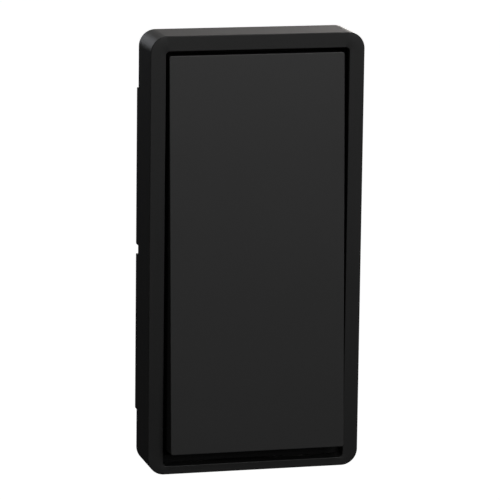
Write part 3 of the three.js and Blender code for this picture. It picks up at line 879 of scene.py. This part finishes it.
tinned_end = 1                    # the ends' place in the block's materials
ceramic_inset = 0.03              # the tinned ends stand this proud of the ceramic
for node, piece, cap in (
    ("chip_antenna", "aerial_block", 0.7), ("reserve_capacitor", "capacitor_block", 0.6),
):
    low, high = node_box(node)
    bm = bmesh.new()
    block(
        bm, low.x + 0.1, high.x - 0.1, -high.y + ceramic_inset, -low.y - ceramic_inset,
        low.z + ceramic_inset, high.z - ceramic_inset, 0.08,
    )
    for x0, x1 in ((low.x, low.x + cap), (high.x - cap, high.x)):
        block(bm, x0, x1, -high.y, -low.y, low.z, high.z, 0.1, tinned_end)
    ceramic = finished(piece, bm, chip_ceramic, "chip_ceramic", "housing", node)
    ceramic.data.materials.append(tinned_pad)


# ---------------------------------------------------------------- coin cell and contacts
# The 20 mm lithium cell is a crimped steel can round a smaller cap, with a
# black seal between them. Two bent nickel strips carry its current to the board.

cell_steel = plated_metal("cell_steel", (0.64, 0.64, 0.62), 0.3, 250)
contact_nickel = plated_metal("contact_nickel", (0.62, 0.6, 0.55), 0.3, 500)
low, high = node_box("coin_cell")
cell_radius = (high.x - low.x) / 2
cell_z = centre_of(low, high)[1]
can_rear, cap_front = -high.y, -low.y
crimp_front = cap_front - 0.27
seal_outer = cell_radius - 0.9
seal_inner = cell_radius - 1.15
seal_rear = cap_front - 0.4
cap_rear = cap_front - 0.45
dish = 0.04                       # the can's bottom is pressed in a little inside its rim
cell_sides = 72
black_seal = 1                    # the seal's place in the cell's materials
bm = bmesh.new()
lathed(bm, [
    (0, can_rear + dish), (cell_radius - 1.6, can_rear + dish), (cell_radius - 1.4, can_rear),
    (cell_radius - 0.35, can_rear), (cell_radius - 0.1, can_rear + 0.1),
    (cell_radius, can_rear + 0.35), (cell_radius, cap_front - 0.6),
    (cell_radius - 0.1, cap_front - 0.35), (cell_radius - 0.4, crimp_front),
    (seal_outer, crimp_front), (0, crimp_front),
], 0, cell_z, cell_sides)
lathed(bm, [
    (seal_outer, seal_rear), (seal_outer, cap_front - 0.22), (seal_inner, cap_front - 0.2),
    (seal_inner, seal_rear), (seal_outer, seal_rear),
], 0, cell_z, cell_sides, black_seal)
lathed(bm, [
    (0, cap_rear), (seal_inner, cap_rear), (seal_inner, cap_front - 0.15),
    (cell_radius - 1.35, cap_front), (0, cap_front),
], 0, cell_z, cell_sides)
cell = finished("lithium_cell", bm, cell_steel, "cell_steel", "housing", "coin_cell")
cell.data.materials.append(chip_black)

for node, piece in (
    ("cell_contact_negative", "contact_bridge"), ("cell_contact_positive", "contact_angle"),
):
    bm = merged_copy(node)
    break_edges(bm, 0.04, 25)
    finished(piece, bm, contact_nickel, "contact_nickel", "housing", node)


# ---------------------------------------------------------------- back cover, door and screws
# The back cover and its coin-turned battery door are black mouldings with a
# deeper grain. Four small countersunk steel screws hold the cover to the chassis.

cover_black = moulded_plastic("cover_black", (0.008, 0.008, 0.008), 0.5, depth=0.2)
bm = merged_copy("back_cover")
break_edges(bm, moulded_edge)
finished("cover_moulding", bm, cover_black, "chassis_black", "housing", "back_cover")

bm = merged_copy("battery_door")
break_edges(bm, 0.1)
finished("door_moulding", bm, cover_black, "chassis_black", "door", "battery_door")

screw_steel = plated_metal("screw_steel", (0.42, 0.42, 0.43), 0.3, 600)
thread_pitch = 0.4
thread_depth = 0.12
thread_start = 0.8                # from the head
thread_runout = 0.2
shank = 0.65
for number in range(1, 5):
    node = f"cover_screw_{number}"
    low, high = node_box(node)
    bm = merged_copy(node)
    break_edges(bm, 0.05, 60)
    threaded = high.y - low.y - thread_start - thread_runout
    for turn in range(int(threaded / thread_pitch)):
        base = -high.y + thread_start + turn * thread_pitch
        lathed(bm, [
            (shank - thread_depth, base), (shank, base + thread_pitch * 0.45),
            (shank - thread_depth, base + thread_pitch * 0.9),
            (0.2, base + thread_pitch * 0.5), (shank - thread_depth, base),
        ], *centre_of(low, high), 24)
    finished(f"screw_{number}", bm, screw_steel, "screw_steel", "housing", node)


# ---------------------------------------------------------------- wall plate
# The plate that screws to the wall is a thin black moulding with two screw slots.
# A hook at each end snaps behind a rib in the frame.

plate_black = moulded_plastic("plate_black", (0.008, 0.008, 0.008), 0.5, depth=0.2)
bm = merged_copy("wall_plate")
break_edges(bm, moulded_edge)
finished("plate_moulding", bm, plate_black, "plate_black", "housing", "wall_plate")


# ---------------------------------------------------------------- light, floor and camera
# A large soft light stands in front, above and to the right, with weaker ones round
# it, three panels behind light the frame's top, and a pale floor lies well below.

def soft_light(name, place, aim, width, height, power, color=(1, 1, 1)):
    """A soft rectangular light, in metres and watts, turned to face a point."""
    data = bpy.data.lights.new(name, "AREA")
    data.shape = "RECTANGLE"
    data.size, data.size_y = width, height
    data.energy = power
    data.color = color
    lamp = bpy.data.objects.new(name, data)
    bpy.context.scene.collection.objects.link(lamp)
    lamp.location = place
    lamp.rotation_euler = (Vector(aim) - Vector(place)).to_track_quat("-Z", "Y").to_euler()


switch_centre = (0, 0, 0)
soft_light("key_light", (0.25, -0.9, 0.35), switch_centre, 0.5, 0.4, 3.05)
soft_light("high_light", (0.05, -0.3, 0.3), switch_centre, 0.2, 0.1, 0.5)
soft_light("front_fill", (0.26, -1, 0.12), switch_centre, 0.25, 0.25, 0.18)
soft_light("left_fill", (-0.7, -0.3, 0.2), switch_centre, 0.4, 0.6, 0.55)
soft_light("right_fill", (0.7, -0.3, 0.1), switch_centre, 0.4, 0.5, 0.74)
soft_light("rear_left", (-0.25, 1, 0.22), (-0.25, 0, 0.2), 0.25, 0.4, 0.58, (0.97, 0.99, 1.04))
soft_light("rear_middle", (0.1, 1, 0.3), (0.1, 0, 0.3), 0.4, 0.56, 0.3, (1.02, 1, 0.99))
soft_light("rear_right", (0.6, 1, 0.3), (0.6, 0, 0.3), 0.5, 0.56, 3.9, (1.04, 0.99, 0.95))

world = bpy.data.worlds.new("studio")
bpy.context.scene.world = world
world.use_nodes = True
sky = world.node_tree.nodes
joins = world.node_tree.links
backdrop = sky["Background"]
backdrop.inputs["Color"].default_value = (1, 1, 1, 1)
backdrop.inputs["Strength"].default_value = 1.0
ambient = sky.new("ShaderNodeBackground")
ambient.inputs["Color"].default_value = (1, 1, 1, 1)
ambient.inputs["Strength"].default_value = 0.025
seen = sky.new("ShaderNodeLightPath")
either = sky.new("ShaderNodeMixShader")
joins.new(seen.outputs["Is Camera Ray"], either.inputs["Fac"])
joins.new(ambient.outputs[0], either.inputs[1])
joins.new(backdrop.outputs[0], either.inputs[2])
joins.new(either.outputs[0], sky["World Output"].inputs["Surface"])

floor_drop = 0.7
bm = bmesh.new()
bmesh.ops.create_grid(bm, x_segments=1, y_segments=1, size=6)
floor_mesh = bpy.data.meshes.new("floor")
bm.to_mesh(floor_mesh)
bm.free()
floor_mesh.transform(Matrix.Translation((0, 0, -floor_drop)))
floor = bpy.data.objects.new("floor", floor_mesh)
bpy.context.scene.collection.objects.link(floor)
floor_white = bpy.data.materials.new("floor_white")
floor_white.use_nodes = True
floor_shader = floor_white.node_tree.nodes["Principled BSDF"]
floor_shader.inputs["Base Color"].default_value = (0.9, 0.9, 0.9, 1)
floor_shader.inputs["Roughness"].default_value = 1
floor_shader.inputs["Specular IOR Level"].default_value = 0
floor_shader.inputs["Emission Color"].default_value = (1, 1, 1, 1)
floor_shader.inputs["Emission Strength"].default_value = 1
floor_mesh.materials.append(floor_white)
floor.visible_glossy = False
floor.visible_diffuse = False

camera_turn = math.radians(-14.54)
camera_rise = math.radians(11.39)
camera_roll = math.radians(0.73)
camera_distance = 0.5322
camera_shift = (-0.00089, 0.00071)
lens = bpy.data.cameras.new("camera")
lens.lens = 256.1
lens.clip_start = 0.01
camera = bpy.data.objects.new("camera", lens)
bpy.context.scene.collection.objects.link(camera)
camera.matrix_world = (
    Matrix.Translation((0, -front * MM, 0))
    @ Matrix.Rotation(camera_turn, 4, "Z")
    @ Matrix.Rotation(math.pi / 2 - camera_rise, 4, "X")
    @ Matrix.Rotation(camera_roll, 4, "Z")
    @ Matrix.Translation((*camera_shift, camera_distance))
)
bpy.context.scene.camera = camera
bpy.context.scene.view_settings.view_transform = "Standard"
